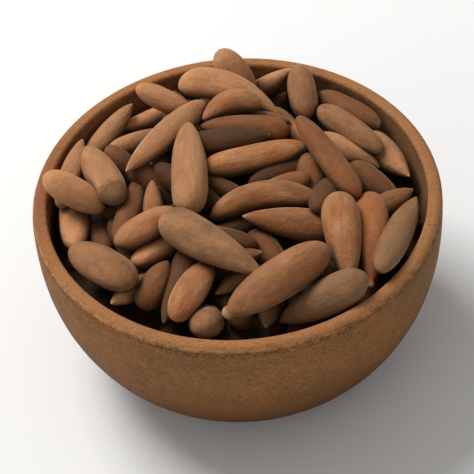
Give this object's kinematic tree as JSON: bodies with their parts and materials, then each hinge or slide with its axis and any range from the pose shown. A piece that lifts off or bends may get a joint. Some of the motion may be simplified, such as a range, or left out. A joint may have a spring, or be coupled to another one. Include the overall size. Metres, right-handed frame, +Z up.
{
  "type": "bowl of pine nuts in shell",
  "caption": "Small turned wooden bowl with a round lip and flat foot, heaped with long brown pine nuts in their shells.",
  "frame": {"origin": "middle of the bowl's flat foot", "axes": "+Z up through the bowl, +X to the right and +Y away from the viewer in the picture"},
  "size_m": [0.0812, 0.0812, 0.0487],
  "materials": {
    "bowl_wood": "matte oiled wood with fine dark pores",
    "nut_shell": "matte, faintly striped, woody seed shell"
  },
  "bodies": {
    "root": {"bowl": "bowl_wood", "nut_heap": "nut_shell"}
  },
  "joints": []
}
